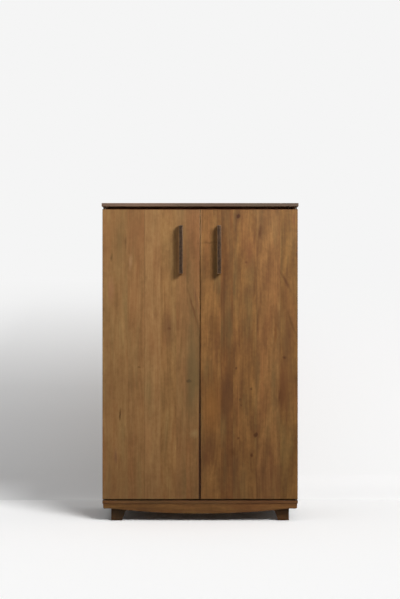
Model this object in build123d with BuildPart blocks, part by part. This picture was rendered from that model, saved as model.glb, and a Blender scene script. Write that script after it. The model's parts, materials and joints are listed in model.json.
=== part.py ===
from build123d import *
import os
from math import radians, tan

# A free-standing bar cabinet with two full-height doors on pivot hinges.
# Millimetres. +Z is up and the doors face -Y. The origin is on the floor, midway
# between the sides, and midway between the front of the pulls and the back.

# Overall sizes
cabinet_width = 655.0
cabinet_height = 1067.0
cabinet_depth = 403.0

# Top slab, and the riser that lifts it off the case
top_thickness = 13.0
top_side_overhang = 2.5
top_front_overhang = 3.0
top_bevel_rise = 2.5
top_bevel_run = 4.0
top_round = 1.2
riser_height = 7.0
riser_front_inset = 9.0
riser_side_inset = 1.5

# Case boards
side_thickness = 20.0
case_top_thickness = 18.0
case_bottom_thickness = 18.0
housing_depth = 6.0
back_thickness = 6.0
back_recess = 2.0
back_rabbet = 10.0
board_round = 1.2

# Base
base_thickness = 10.5
apron_height = 16.5
apron_thickness = 20.0
apron_setback = 2.0
apron_round = 2.0
apron_corner_round = 5.0
belly_drop = 17.0
belly_end_inset = 28.5

# Feet
foot_height = 57.0
foot_side_inset = 28.5
foot_toe_width = 37.0
foot_waist_width = 44.0
foot_waist_height = 20.0
foot_cove = 14.0
foot_round = 1.5
glide_thickness = 2.0
glide_radius = 12.0
glide_nail_radius = 1.5
glide_nail_length = 12.0
bolt_radius = 4.0
bolt_in_foot = 26.0
bolt_in_case = 12.0

# Doors
door_thickness = 20.0
door_back_gap = 2.5
door_bottom_gap = 5.0
meeting_gap = 2.0
door_round = 1.5
door_heel_round = 3.5
door_open_angle = 110.0

# Pulls
pull_projection = 32.0
pull_length = 162.0
pull_width = 13.0
pull_bar_depth = 15.0
pull_leg_height = 10.0
pull_from_middle = 64.0
pull_from_door_top = 55.0
pull_corner_round = 3.0
pull_edge_round = 2.0
pull_screw_radius = 2.0
pull_screw_head_radius = 4.5
pull_screw_head_height = 2.4
pull_screw_in_leg = 14.0

# Pivot hinges
pivot_inset = 8.0
pivot_plate_length = 48.0
pivot_plate_width = 13.0
pivot_plate_thickness = 3.0
pivot_plate_end = 6.0
pivot_pin_radius = 2.5
pivot_pin_in_door = 12.0
socket_wall = 2.0
socket_depth = 11.0
washer_thickness = 1.8
washer_radius = 5.5
plate_screw_shares = (0.4, 0.75)

# Magnetic catches, strikes and bumpers
catch_from_middle = 34.0
catch_body_length = 24.0
catch_ear_length = 9.0
catch_ear_thickness = 3.0
catch_height = 14.0
catch_depth = 19.0
strike_length = 34.0
strike_height = 11.0
strike_thickness = 1.5
bumper_radius = 4.0
bumper_from_middle = 12.0
bumper_margin = 1.0

# Shelves
shelf_thickness = 18.0
shelf_side_clearance = 1.0
lower_setback = 12.0
tall_bottle_height = 340.0
pin_radius = 2.5
pin_in_side = 9.0
pin_paddle_length = 12.0
pin_paddle_width = 10.0
pin_paddle_thickness = 3.0
pin_from_edge = 40.0
pin_hole_pitch = 32.0
pin_holes_each_way = 2

# Bottle grid
grid_columns = 5
grid_rows = 2
grid_board = 8.0
grid_cell_height = 112.0

# Stemware rails
rail_count = 6
rail_side_gap = 7.5
stem_slot = 30.0
strip_thickness = 8.0
spacer_width = 12.0
spacer_height = 17.0
rail_screw_inset = 30.0

# Bottle racks on the doors
rack_depth = 94.0
rack_hinge_inset = 38.0
rack_middle_inset = 20.0
rack_board = 10.0
rack_end_height = 72.0
rack_end_round = 18.0
rack_rod_radius = 4.0
rack_rod_height = 54.0
rack_rod_from_edge = 9.0
rack_rod_in_end = 5.0
rack_above_shelf = 12.0
rack_shelf_clearance = 14.0

# Screws: shank radius, head radius, head height and length of each kind
small_screw_cover = 1.0
back_screw_bite = 14.0
top_screw_bite = 9.0
rail_screw_bite = 8.0
small_screw = (1.6, 3.2, 1.8, base_thickness - small_screw_cover)
back_screw = (1.7, 3.6, 2.0, back_thickness + back_screw_bite)
top_screw = (2.2, 4.4, 2.4, case_top_thickness + riser_height + top_screw_bite)
rail_screw = (2.2, 4.4, 2.4, strip_thickness + spacer_height + rail_screw_bite)
back_screws_up = 4
back_screw_margin = 40.0
top_screw_margin = 50.0

# Clearances, and the overrun of cuts
running_clearance = 0.05
fit_clearance = 0.05
seat_clearance = 0.3
swing_clearance = 0.3
overrun = 1.0

# Levels, from the floor up
foot_bottom = glide_thickness
base_bottom = foot_bottom + foot_height
base_top = base_bottom + base_thickness
apron_bottom = base_bottom - apron_height
floor_level = base_top + case_bottom_thickness
door_bottom = base_top + door_bottom_gap
top_bottom = cabinet_height - top_thickness
case_top_level = top_bottom - riser_height
door_top = case_top_level
ceiling = case_top_level - case_top_thickness
fixed_shelf_bottom = floor_level + grid_rows * grid_cell_height + (grid_rows - 1) * grid_board
fixed_shelf_top = fixed_shelf_bottom + shelf_thickness
loose_shelf_bottom = fixed_shelf_top + tall_bottle_height
loose_shelf_top = loose_shelf_bottom + shelf_thickness
strip_top = ceiling - spacer_height
strip_bottom = strip_top - strip_thickness
tray_bottom = fixed_shelf_top + rack_above_shelf
tray_top = tray_bottom + rack_board
pull_top = door_top - pull_from_door_top
pull_bottom = pull_top - pull_length

# Planes, from front to back
back = (cabinet_depth + pull_projection) / 2
door_front = back - cabinet_depth
door_back = door_front + door_thickness
case_front = door_back + door_back_gap
back_front = back - back_recess - back_thickness
back_rear = back - back_recess
top_front = door_front - top_front_overhang
rack_back = door_back + rack_depth
shelf_front = rack_back + rack_shelf_clearance
lower_front = case_front + lower_setback
apron_front = door_front + apron_setback
apron_rear = back - apron_setback

# Planes, from the middle out
half_width = cabinet_width / 2
inner_half = half_width - side_thickness
housing_half = inner_half + housing_depth
rabbet_half = inner_half + back_rabbet
apron_half = half_width - apron_setback
foot_half = half_width - foot_side_inset
meeting_half = meeting_gap / 2

# The pin stands so far in front of the case that the door's rounded heel clears the
# case all the way round, and the door's edge clears it at the end of the turn.
heel_reach = pivot_inset - door_heel_round
heel_room = door_back_gap - swing_clearance
heel_set_out = door_heel_round + (heel_reach**2 / heel_room + door_back_gap + swing_clearance) / 2
edge_set_out = pivot_inset * tan(radians(door_open_angle / 2)) + swing_clearance
pivot_y = case_front - max(heel_set_out, edge_set_out)
pivot_half = half_width - pivot_inset

HIGH = (Align.CENTER, Align.CENTER, Align.MAX)
SIDES = ((-1, "left"), (1, "right"))
ENDS = ((-1, "front"), (1, "rear"))

os.makedirs("parts", exist_ok=True)


def keep(builder, name):
    """Labels one finished piece and writes it."""
    builder.part.label = name
    export_step(builder.part, f"parts/{name}.step")


def board(x_pair, y_pair, z_pair, mode=Mode.ADD):
    """Adds or cuts a straight board between three pairs of planes, in any order."""
    middle = [sum(pair) / 2 for pair in (x_pair, y_pair, z_pair)]
    length, width, height = [max(pair) - min(pair) for pair in (x_pair, y_pair, z_pair)]
    with Locations(tuple(middle)):
        Box(length, width, height, mode=mode)


def facing(x, y, z, direction):
    """A place at a point, whose +Z looks along the direction."""
    return Plane(origin=(x, y, z), z_dir=direction)


def screws(places, kind, grow=0.0, mode=Mode.ADD):
    """Countersunk screws with their heads flush at each place, or the holes for them."""
    radius, head_radius, head_height, length = kind
    with Locations(*places):
        Cylinder(radius + grow, length + grow, align=HIGH, mode=mode)
        Cone(radius + grow, head_radius + grow, head_height, align=HIGH, mode=mode)


def holes(places, radius, depth, mode=Mode.SUBTRACT):
    """Plain holes that start at each place, or the rods for them."""
    with Locations(*places):
        Cylinder(radius, depth, align=HIGH, mode=mode)


def hinge_plate(hand, level, up, grow=0.0, mode=Mode.ADD):
    """A plate about the pin, with its face at the level and its body behind that face."""
    middle = pivot_half + pivot_plate_end - pivot_plate_length / 2
    with BuildSketch(Plane.XY.offset(level)) as outline:
        with Locations((hand * middle, pivot_y)):
            RectangleRounded(
                pivot_plate_length + 2 * grow, pivot_plate_width + 2 * grow, pivot_plate_end
            )
    extrude(outline.sketch, amount=-up * (pivot_plate_thickness + grow), mode=mode)


def plate_screw_places(hand, level, up):
    """Where the two screws of one plate have their heads."""
    reaches = [pivot_half - pivot_plate_length * share for share in plate_screw_shares]
    return [facing(hand * reach, pivot_y, level, (0, 0, up)) for reach in reaches]


# Places that more than one piece uses
strip_room = 2 * (inner_half - rail_side_gap) - (rail_count - 1) * stem_slot
strip_width = strip_room / rail_count
rail_pitch = strip_width + stem_slot
pin_places = [(hand * pivot_half, pivot_y) for hand, _ in SIDES]
frame_ends = ((base_top, 1, door_bottom_gap), (top_bottom, -1, riser_height))
door_ends = ((door_bottom, -1), (door_top, 1))
top_screw_places = [
    facing(column * 2 * rail_pitch, y, ceiling, (0, 0, -1))
    for column in (-1, 0, 1)
    for y in (case_front + top_screw_margin, back_front - top_screw_margin)
]
rail_middles = [rail_pitch * (index - (rail_count - 1) / 2) for index in range(rail_count)]
rail_screw_places = [
    facing(x, y, strip_bottom, (0, 0, -1))
    for x in rail_middles
    for y in (shelf_front + rail_screw_inset, back_front - rail_screw_inset)
]
back_screw_low = floor_level + back_screw_margin
back_screw_step = (ceiling - back_screw_margin - back_screw_low) / (back_screws_up - 1)
back_screw_half = inner_half + back_rabbet / 2
back_screw_levels = [back_screw_low + step * back_screw_step for step in range(back_screws_up)]
back_screw_places = [
    facing(hand * back_screw_half, back_rear, level, (0, 1, 0))
    for hand, _ in SIDES
    for level in back_screw_levels
]
pin_rows = (shelf_front + pin_from_edge, back_front - pin_from_edge)
pin_level = loose_shelf_bottom - pin_radius
foot_front = apron_front + apron_thickness
foot_rear = apron_rear - apron_thickness
foot_middle = foot_toe_width / 2
bolt_places = [
    (hand * (foot_half - foot_middle), corner - end * foot_middle)
    for hand, _ in SIDES
    for end, corner in ((-1, foot_front), (1, foot_rear))
]
catch_front = door_back + strike_thickness + seat_clearance
catch_middle = catch_front + catch_depth / 2
catch_reach = catch_body_length / 2 + catch_ear_length
catch_ear_level = ceiling - catch_ear_thickness
catch_screw_reach = catch_reach - catch_ear_length / 2
catch_screw_places = [
    facing(hand * catch_from_middle + side * catch_screw_reach, catch_middle, catch_ear_level, (0, 0, -1))
    for hand, _ in SIDES
    for side in (-1, 1)
]
strike_level = ceiling - catch_height / 2


# Top slab, bevelled below at the front and the ends
with BuildPart() as top_slab:
    top_half = half_width + top_side_overhang
    board((-top_half, top_half), (top_front, back), (top_bottom, cabinet_height))
    low_face = top_slab.faces().sort_by(Axis.Z)[0]
    low_rim = low_face.edges().sort_by(Axis.Y)[:-1]
    chamfer(low_rim, top_bevel_run, top_bevel_rise, reference=low_face)
    fillet(top_slab.faces().sort_by(Axis.Z)[-1].edges(), top_round)
    for hand, _ in SIDES:
        hinge_plate(hand, top_bottom, -1, fit_clearance, Mode.SUBTRACT)
        screws(plate_screw_places(hand, top_bottom, -1), small_screw, fit_clearance, Mode.SUBTRACT)
    screws(top_screw_places, top_screw, fit_clearance, Mode.SUBTRACT)
keep(top_slab, "top_slab")

# Riser between the case and the slab, set back so that it reads as a dark line
with BuildPart() as riser:
    riser_half = half_width - riser_side_inset
    riser_front = case_front + riser_front_inset
    board((-riser_half, riser_half), (riser_front, back), (case_top_level, top_bottom))
    screws(top_screw_places, top_screw, fit_clearance, Mode.SUBTRACT)
keep(riser, "riser")

with BuildPart() as case_top:
    board((-housing_half, housing_half), (case_front, back_front), (ceiling, case_top_level))
    screws(top_screw_places, top_screw, fit_clearance, Mode.SUBTRACT)
    screws(rail_screw_places, rail_screw, fit_clearance, Mode.SUBTRACT)
    screws(catch_screw_places, small_screw, fit_clearance, Mode.SUBTRACT)
keep(case_top, "case_top")

with BuildPart() as case_bottom:
    board((-housing_half, housing_half), (case_front, back_front), (base_top, floor_level))
    bolt_tops = [facing(x, y, base_top, (0, 0, -1)) for x, y in bolt_places]
    holes(bolt_tops, bolt_radius + fit_clearance, bolt_in_case + fit_clearance)
keep(case_bottom, "case_bottom")

# Sides, housed for the boards between them and rabbeted for the back
for hand, name in SIDES:
    with BuildPart() as side:
        board((hand * inner_half, hand * half_width), (case_front, back), (base_top, case_top_level))
        front_edges = side.faces().sort_by(Axis.Y)[0].edges().filter_by(Axis.Z)
        fillet(front_edges, board_round)
        outer_rear = (hand * half_width, back, base_top)
        fillet(side.edges().filter_by(Axis.Z).sort_by_distance(outer_rear)[0], board_round)
        beyond = hand * (inner_half - overrun)
        housing_end = hand * (housing_half + fit_clearance)
        housings = (
            (case_front, base_top - overrun, floor_level),
            (case_front, ceiling, case_top_level + overrun),
            (lower_front, fixed_shelf_bottom, fixed_shelf_top),
        )
        for front, bottom, top in housings:
            cut_front = front - (overrun if front == case_front else fit_clearance)
            board(
                (beyond, housing_end),
                (cut_front, back_front + overrun),
                (bottom - fit_clearance, top + fit_clearance),
                Mode.SUBTRACT,
            )
        board(
            (beyond, hand * (rabbet_half + fit_clearance)),
            (back_front, back + overrun),
            (base_top - overrun, case_top_level + overrun),
            Mode.SUBTRACT,
        )
        screws(back_screw_places, back_screw, fit_clearance, Mode.SUBTRACT)
        shelf_hole_places = [
            facing(hand * inner_half, y, pin_level + step * pin_hole_pitch, (-hand, 0, 0))
            for y in pin_rows
            for step in range(-pin_holes_each_way, pin_holes_each_way + 1)
        ]
        holes(shelf_hole_places, pin_radius + fit_clearance, pin_in_side + overrun)
    keep(side, f"{name}_side")

with BuildPart() as back_panel:
    board((-rabbet_half, rabbet_half), (back_front, back_rear), (base_top, case_top_level))
    screws(back_screw_places, back_screw, fit_clearance, Mode.SUBTRACT)
keep(back_panel, "back_panel")

# Base board, which reaches out under the doors and carries the lower pivots
with BuildPart() as base_board:
    board((-half_width, half_width), (door_front, back), (base_bottom, base_top))
    fillet(base_board.faces().sort_by(Axis.Y)[0].edges(), board_round)
    for hand, _ in SIDES:
        hinge_plate(hand, base_top, 1, fit_clearance, Mode.SUBTRACT)
        screws(plate_screw_places(hand, base_top, 1), small_screw, fit_clearance, Mode.SUBTRACT)
    bolt_tops = [facing(x, y, base_top + overrun, (0, 0, 1)) for x, y in bolt_places]
    holes(bolt_tops, bolt_radius + fit_clearance, base_thickness + 2 * overrun)
keep(base_board, "base_board")

# Front apron, whose lower edge bellies down between the feet
with BuildPart() as front_apron:
    belly_half = half_width - belly_end_inset
    with BuildSketch(Plane.XZ.offset(-apron_front - apron_thickness)):
        with BuildLine():
            Polyline(
                (-belly_half, apron_bottom),
                (-apron_half, apron_bottom),
                (-apron_half, base_bottom),
                (apron_half, base_bottom),
                (apron_half, apron_bottom),
                (belly_half, apron_bottom),
            )
            ThreePointArc(
                (belly_half, apron_bottom),
                (0, apron_bottom - belly_drop),
                (-belly_half, apron_bottom),
            )
        make_face()
    extrude(amount=apron_thickness)
    for hand, _ in SIDES:
        low_corner = (hand * apron_half, apron_front, apron_bottom)
        fillet(front_apron.edges().filter_by(Axis.Y).sort_by_distance(low_corner)[0], apron_corner_round)
    fillet(front_apron.faces().sort_by(Axis.Y)[0].edges().sort_by(Axis.Z)[:-1], apron_round)
keep(front_apron, "front_apron")

with BuildPart() as rear_apron:
    rear_span = (apron_rear - apron_thickness, apron_rear)
    board((-apron_half, apron_half), rear_span, (apron_bottom, base_bottom))
    fillet(rear_apron.edges().filter_by(Axis.Y).sort_by(Axis.Z)[:2], apron_corner_round)
    fillet(rear_apron.faces().sort_by(Axis.Y)[-1].edges().sort_by(Axis.Z)[:-1], apron_round)
keep(rear_apron, "rear_apron")

for hand, name in SIDES:
    with BuildPart() as side_apron:
        outer = hand * apron_half
        board((outer, outer - hand * apron_thickness), (foot_front, foot_rear), (apron_bottom, base_bottom))
        outer_low = (outer, 0, apron_bottom)
        fillet(side_apron.edges().filter_by(Axis.Y).sort_by_distance(outer_low)[0], apron_corner_round)
    keep(side_apron, f"{name}_apron")

# Feet, coved on both inner faces
for hand, name in SIDES:
    for end, end_name in ENDS:
        corner = foot_front if end < 0 else foot_rear
        foot_top_width = foot_waist_width + foot_cove
        across = Plane(origin=(hand * foot_half, corner, 0), x_dir=(-hand, 0, 0), z_dir=(0, hand, 0))
        along = Plane(origin=(hand * foot_half, corner, 0), x_dir=(0, -end, 0), z_dir=(-end, 0, 0))
        with BuildPart() as foot:
            for plane, mode in ((across, Mode.ADD), (along, Mode.INTERSECT)):
                with BuildSketch(plane) as profile:
                    with BuildLine():
                        waist = foot_bottom + foot_waist_height
                        cove = CenterArc((foot_top_width, waist), foot_cove, 90, 90)
                        Polyline(
                            cove @ 0,
                            (foot_top_width, base_bottom),
                            (0, base_bottom),
                            (0, foot_bottom),
                            (foot_toe_width, foot_bottom),
                            cove @ 1,
                        )
                    make_face()
                extrude(profile.sketch, amount=foot_top_width, both=True, mode=mode)
            outer_corner = (hand * foot_half, corner, foot_bottom)
            fillet(foot.edges().filter_by(Axis.Z).sort_by_distance(outer_corner)[0], foot_round)
            x, y = hand * (foot_half - foot_middle), corner - end * foot_middle
            bolt_place = [facing(x, y, base_bottom, (0, 0, 1))]
            holes(bolt_place, bolt_radius + fit_clearance, bolt_in_foot + fit_clearance)
            nail_place = [facing(x, y, foot_bottom, (0, 0, -1))]
            holes(nail_place, glide_nail_radius + fit_clearance, glide_nail_length + fit_clearance)
        keep(foot, f"{end_name}_{name}_foot")

with BuildPart() as foot_bolts:
    bolt_tops = [facing(x, y, base_top + bolt_in_case, (0, 0, 1)) for x, y in bolt_places]
    holes(bolt_tops, bolt_radius, bolt_in_case + base_thickness + bolt_in_foot, Mode.ADD)
keep(foot_bolts, "foot_bolts")

with BuildPart() as foot_glides:
    disc_tops = [facing(x, y, foot_bottom, (0, 0, 1)) for x, y in bolt_places]
    holes(disc_tops, glide_radius, glide_thickness, Mode.ADD)
    nail_places = [facing(x, y, foot_bottom, (0, 0, -1)) for x, y in bolt_places]
    holes(nail_places, glide_nail_radius, glide_nail_length, Mode.ADD)
keep(foot_glides, "foot_glides")

# Shelves
with BuildPart() as fixed_shelf:
    board((-housing_half, housing_half), (lower_front, back_front), (fixed_shelf_bottom, fixed_shelf_top))
keep(fixed_shelf, "fixed_shelf")

with BuildPart() as loose_shelf:
    shelf_half = inner_half - shelf_side_clearance
    shelf_rear = back_front - shelf_side_clearance
    board((-shelf_half, shelf_half), (shelf_front, shelf_rear), (loose_shelf_bottom, loose_shelf_top))
    fillet(loose_shelf.faces().sort_by(Axis.Y)[0].edges().filter_by(Axis.X), board_round)
keep(loose_shelf, "loose_shelf")

with BuildPart() as shelf_pins:
    for hand, _ in SIDES:
        for y in pin_rows:
            holes([facing(hand * inner_half, y, pin_level, (-hand, 0, 0))], pin_radius, pin_in_side, Mode.ADD)
            board(
                (hand * inner_half, hand * (inner_half - pin_paddle_length)),
                (y - pin_paddle_width / 2, y + pin_paddle_width / 2),
                (loose_shelf_bottom - pin_paddle_thickness, loose_shelf_bottom),
            )
keep(shelf_pins, "shelf_pins")

# Bottle grid: upright dividers and one level board, lapped half and half
grid_pitch = (2 * inner_half + grid_board) / grid_columns
divider_middles = [grid_pitch * (index - grid_columns / 2) for index in range(1, grid_columns)]
grid_middle = (lower_front + back_front) / 2
notch_half = grid_board / 2 + fit_clearance
level_bottoms = [
    floor_level + row * grid_cell_height + (row - 1) * grid_board for row in range(1, grid_rows)
]
for index, middle in enumerate(divider_middles, start=1):
    with BuildPart() as divider:
        faces = (middle - grid_board / 2, middle + grid_board / 2)
        board(faces, (lower_front, back_front), (floor_level, fixed_shelf_bottom))
        for bottom in level_bottoms:
            board(
                (middle - notch_half - overrun, middle + notch_half + overrun),
                (lower_front - overrun, grid_middle + fit_clearance),
                (bottom - fit_clearance, bottom + grid_board + fit_clearance),
                Mode.SUBTRACT,
            )
    keep(divider, f"grid_divider_{index}")

with BuildPart() as grid_level:
    for bottom in level_bottoms:
        board((-inner_half, inner_half), (lower_front, back_front), (bottom, bottom + grid_board))
        for middle in divider_middles:
            board(
                (middle - notch_half, middle + notch_half),
                (grid_middle - fit_clearance, back_front + overrun),
                (bottom - overrun, bottom + grid_board + overrun),
                Mode.SUBTRACT,
            )
keep(grid_level, "grid_level")

# Stemware rails: a wide strip under a narrow spacer, screwed up into the case top
with BuildPart() as stemware_spacers:
    for x in rail_middles:
        spacer_faces = (x - spacer_width / 2, x + spacer_width / 2)
        board(spacer_faces, (shelf_front, back_front), (strip_top, ceiling))
    screws(rail_screw_places, rail_screw, fit_clearance, Mode.SUBTRACT)
keep(stemware_spacers, "stemware_spacers")

with BuildPart() as stemware_strips:
    for x in rail_middles:
        strip_faces = (x - strip_width / 2, x + strip_width / 2)
        board(strip_faces, (shelf_front, back_front), (strip_bottom, strip_top))
    fillet(stemware_strips.edges().filter_by(Axis.Y), board_round)
    screws(rail_screw_places, rail_screw, fit_clearance, Mode.SUBTRACT)
keep(stemware_strips, "stemware_strips")

# Fasteners of the case
with BuildPart() as case_screws:
    screws(top_screw_places, top_screw)
    screws(rail_screw_places, rail_screw)
keep(case_screws, "case_screws")

with BuildPart() as back_screws:
    screws(back_screw_places, back_screw)
keep(back_screws, "back_screws")

with BuildPart() as hardware_screws:
    for hand, _ in SIDES:
        for level, up, _ in frame_ends:
            screws(plate_screw_places(hand, level, up), small_screw)
    screws(catch_screw_places, small_screw)
keep(hardware_screws, "hardware_screws")

# Pivots: a flush plate with a shoulder and a pin, one below and one above each door
for hand, name in SIDES:
    for (level, up, gap), end_name in zip(frame_ends, ("lower", "upper")):
        shoulder_height = gap - washer_thickness - seat_clearance
        shoulder_top = [facing(hand * pivot_half, pivot_y, level + up * shoulder_height, (0, 0, up))]
        pin_height = gap + pivot_pin_in_door
        pin_top = [facing(hand * pivot_half, pivot_y, level + up * pin_height, (0, 0, up))]
        with BuildPart() as pivot:
            hinge_plate(hand, level, up)
            holes(shoulder_top, washer_radius, shoulder_height, Mode.ADD)
            holes(pin_top, pivot_pin_radius, pin_height, Mode.ADD)
            screws(plate_screw_places(hand, level, up), small_screw, fit_clearance, Mode.SUBTRACT)
        keep(pivot, f"{name}_{end_name}_pivot")

with BuildPart() as thrust_washers:
    for x, y in pin_places:
        for level, up, gap in frame_ends:
            washer_top = [facing(x, y, level + up * (gap - seat_clearance), (0, 0, up))]
            holes(washer_top, washer_radius, washer_thickness, Mode.ADD)
            holes(washer_top, pivot_pin_radius + fit_clearance, washer_thickness)
keep(thrust_washers, "thrust_washers")

with BuildPart() as magnetic_catches:
    for hand, _ in SIDES:
        x = hand * catch_from_middle
        catch_span = (catch_front, catch_front + catch_depth)
        body_faces = (x - catch_body_length / 2, x + catch_body_length / 2)
        board(body_faces, catch_span, (ceiling - catch_height, ceiling))
        board((x - catch_reach, x + catch_reach), catch_span, (ceiling - catch_ear_thickness, ceiling))
    screws(catch_screw_places, small_screw, fit_clearance, Mode.SUBTRACT)
keep(magnetic_catches, "magnetic_catches")

# Doors, with everything that swings with them
for hand, name in SIDES:
    pull_x = hand * pull_from_middle
    pull_legs = (pull_bottom + pull_leg_height / 2, pull_top - pull_leg_height / 2)
    strike_place = [facing(hand * catch_from_middle, door_back + strike_thickness, strike_level, (0, 1, 0))]
    socket_radius = pivot_pin_radius + running_clearance + socket_wall
    socket_length = pivot_plate_thickness + socket_depth
    door_screw_places = strike_place + [
        place for level, up in door_ends for place in plate_screw_places(hand, level, up)
    ]

    with BuildPart() as door:
        board((hand * meeting_half, hand * half_width), (door_front, door_back), (door_bottom, door_top))
        heel = (hand * half_width, door_back, door_bottom)
        fillet(door.edges().filter_by(Axis.Z).sort_by_distance(heel)[0], door_heel_round)
        fillet(door.faces().sort_by(Axis.Y)[0].edges(), door_round)
        for level, up in door_ends:
            hinge_plate(hand, level, up, fit_clearance, Mode.SUBTRACT)
            end_place = [facing(hand * pivot_half, pivot_y, level, (0, 0, up))]
            holes(end_place, socket_radius + fit_clearance, socket_length + fit_clearance)
        screws(door_screw_places, small_screw, fit_clearance, Mode.SUBTRACT)
        leg_places = [facing(pull_x, door_back + overrun, z, (0, 1, 0)) for z in pull_legs]
        holes(leg_places, pull_screw_radius + fit_clearance, door_thickness + 2 * overrun)
    keep(door, f"{name}_door")

    with BuildPart() as sockets:
        for level, up in door_ends:
            hinge_plate(hand, level, up)
            end_place = [facing(hand * pivot_half, pivot_y, level, (0, 0, up))]
            holes(end_place, socket_radius, socket_length, Mode.ADD)
            mouth = [facing(hand * pivot_half, pivot_y, level + up * overrun, (0, 0, up))]
            holes(mouth, pivot_pin_radius + running_clearance, socket_length + 2 * overrun)
            screws(plate_screw_places(hand, level, up), small_screw, fit_clearance, Mode.SUBTRACT)
    keep(sockets, f"{name}_sockets")

    with BuildPart() as door_screws:
        screws(door_screw_places, small_screw)
    keep(door_screws, f"{name}_door_screws")

    with BuildPart() as pull:
        pull_faces = (pull_x - pull_width / 2, pull_x + pull_width / 2)
        bar_front = door_front - pull_projection
        board(pull_faces, (bar_front, door_front), (pull_bottom, pull_top))
        fillet(pull.edges().filter_by(Axis.X).sort_by(Axis.Y)[:2], pull_corner_round)
        fillet(pull.faces().sort_by(Axis.Y)[0].edges().filter_by(Axis.Z), pull_edge_round)
        board(
            (pull_faces[0] - overrun, pull_faces[1] + overrun),
            (bar_front + pull_bar_depth, door_front + overrun),
            (pull_bottom + pull_leg_height, pull_top - pull_leg_height),
            Mode.SUBTRACT,
        )
        leg_places = [facing(pull_x, door_front, z, (0, 1, 0)) for z in pull_legs]
        holes(leg_places, pull_screw_radius + fit_clearance, pull_screw_in_leg + fit_clearance)
    keep(pull, f"{name}_pull")

    with BuildPart() as pull_screws:
        heads = [facing(pull_x, door_back + pull_screw_head_height, z, (0, 1, 0)) for z in pull_legs]
        shank_length = pull_screw_head_height + door_thickness + pull_screw_in_leg
        holes(heads, pull_screw_head_radius, pull_screw_head_height, Mode.ADD)
        holes(heads, pull_screw_radius, shank_length, Mode.ADD)
    keep(pull_screws, f"{name}_pull_screws")

    with BuildPart() as strike:
        strike_x = hand * catch_from_middle
        board(
            (strike_x - strike_length / 2, strike_x + strike_length / 2),
            (door_back, door_back + strike_thickness),
            (strike_level - strike_height / 2, strike_level + strike_height / 2),
        )
        screws(strike_place, small_screw, fit_clearance, Mode.SUBTRACT)
    keep(strike, f"{name}_strike")

    with BuildPart() as bumpers:
        bumper_offset = bumper_radius + bumper_margin
        bumper_height = door_back_gap - seat_clearance
        bumper_places = [
            facing(hand * bumper_from_middle, door_back + bumper_height, z, (0, 1, 0))
            for z in (floor_level - bumper_offset, ceiling + bumper_offset)
        ]
        holes(bumper_places, bumper_radius, bumper_height, Mode.ADD)
    keep(bumpers, f"{name}_bumpers")

    rack_near = hand * (meeting_half + rack_middle_inset)
    rack_far = hand * (half_width - rack_hinge_inset)
    rod_y = rack_back - rack_rod_from_edge
    rod_level = tray_top + rack_rod_height
    rod_start = rack_near + hand * (rack_board - rack_rod_in_end)
    rod_end = rack_far - hand * (rack_board - rack_rod_in_end)
    rod_place = [facing(rod_end, rod_y, rod_level, (hand, 0, 0))]
    with BuildPart() as rack_tray:
        board((rack_near, rack_far), (door_back, rack_back), (tray_bottom, tray_top))
        fillet(rack_tray.faces().sort_by(Axis.Y)[-1].edges(), board_round)
    keep(rack_tray, f"{name}_rack_tray")

    with BuildPart() as rack_ends:
        for face, inward in ((rack_near, hand), (rack_far, -hand)):
            end_faces = (face, face + inward * rack_board)
            board(end_faces, (door_back, rack_back), (tray_top, tray_top + rack_end_height))
        top_edges = rack_ends.edges().filter_by(Axis.X).group_by(Axis.Z)[-1]
        fillet(top_edges.sort_by(Axis.Y)[-2:], rack_end_round)
        holes(rod_place, rack_rod_radius + fit_clearance, abs(rod_end - rod_start))
    keep(rack_ends, f"{name}_rack_ends")

    with BuildPart() as rack_rod:
        holes(rod_place, rack_rod_radius, abs(rod_end - rod_start), Mode.ADD)
    keep(rack_rod, f"{name}_rack_rod")
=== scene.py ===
import json
from math import cos, radians, sin

import bmesh
import bpy
from mathutils import Matrix, Vector

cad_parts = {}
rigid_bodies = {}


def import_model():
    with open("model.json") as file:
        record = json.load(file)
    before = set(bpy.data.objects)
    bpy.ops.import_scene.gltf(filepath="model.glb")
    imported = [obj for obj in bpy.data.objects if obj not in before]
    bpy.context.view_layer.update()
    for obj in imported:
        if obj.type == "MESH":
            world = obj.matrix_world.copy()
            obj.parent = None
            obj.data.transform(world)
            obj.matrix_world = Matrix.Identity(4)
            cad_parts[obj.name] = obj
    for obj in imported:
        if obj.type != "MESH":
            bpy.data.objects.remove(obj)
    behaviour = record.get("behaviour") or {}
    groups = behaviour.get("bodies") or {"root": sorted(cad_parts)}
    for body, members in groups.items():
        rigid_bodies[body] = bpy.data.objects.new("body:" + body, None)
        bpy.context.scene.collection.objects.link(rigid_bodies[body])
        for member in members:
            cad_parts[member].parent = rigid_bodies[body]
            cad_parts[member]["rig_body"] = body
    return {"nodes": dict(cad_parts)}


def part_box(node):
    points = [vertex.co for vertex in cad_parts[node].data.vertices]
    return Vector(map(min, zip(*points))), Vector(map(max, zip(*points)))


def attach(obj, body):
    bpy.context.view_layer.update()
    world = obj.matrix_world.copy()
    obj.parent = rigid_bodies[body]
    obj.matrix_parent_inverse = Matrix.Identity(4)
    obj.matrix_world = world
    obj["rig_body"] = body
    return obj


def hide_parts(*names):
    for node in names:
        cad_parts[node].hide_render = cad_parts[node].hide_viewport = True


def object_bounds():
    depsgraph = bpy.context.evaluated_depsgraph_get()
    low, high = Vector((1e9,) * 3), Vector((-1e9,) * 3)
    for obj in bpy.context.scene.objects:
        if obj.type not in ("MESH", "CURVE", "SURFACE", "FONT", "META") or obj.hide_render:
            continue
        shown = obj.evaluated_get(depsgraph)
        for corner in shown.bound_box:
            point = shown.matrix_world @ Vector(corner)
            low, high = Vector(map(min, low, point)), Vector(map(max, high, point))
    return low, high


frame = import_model()
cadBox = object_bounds()
nodes = frame["nodes"]
scene = bpy.context.scene
scene.view_settings.view_transform = "Standard"
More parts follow.
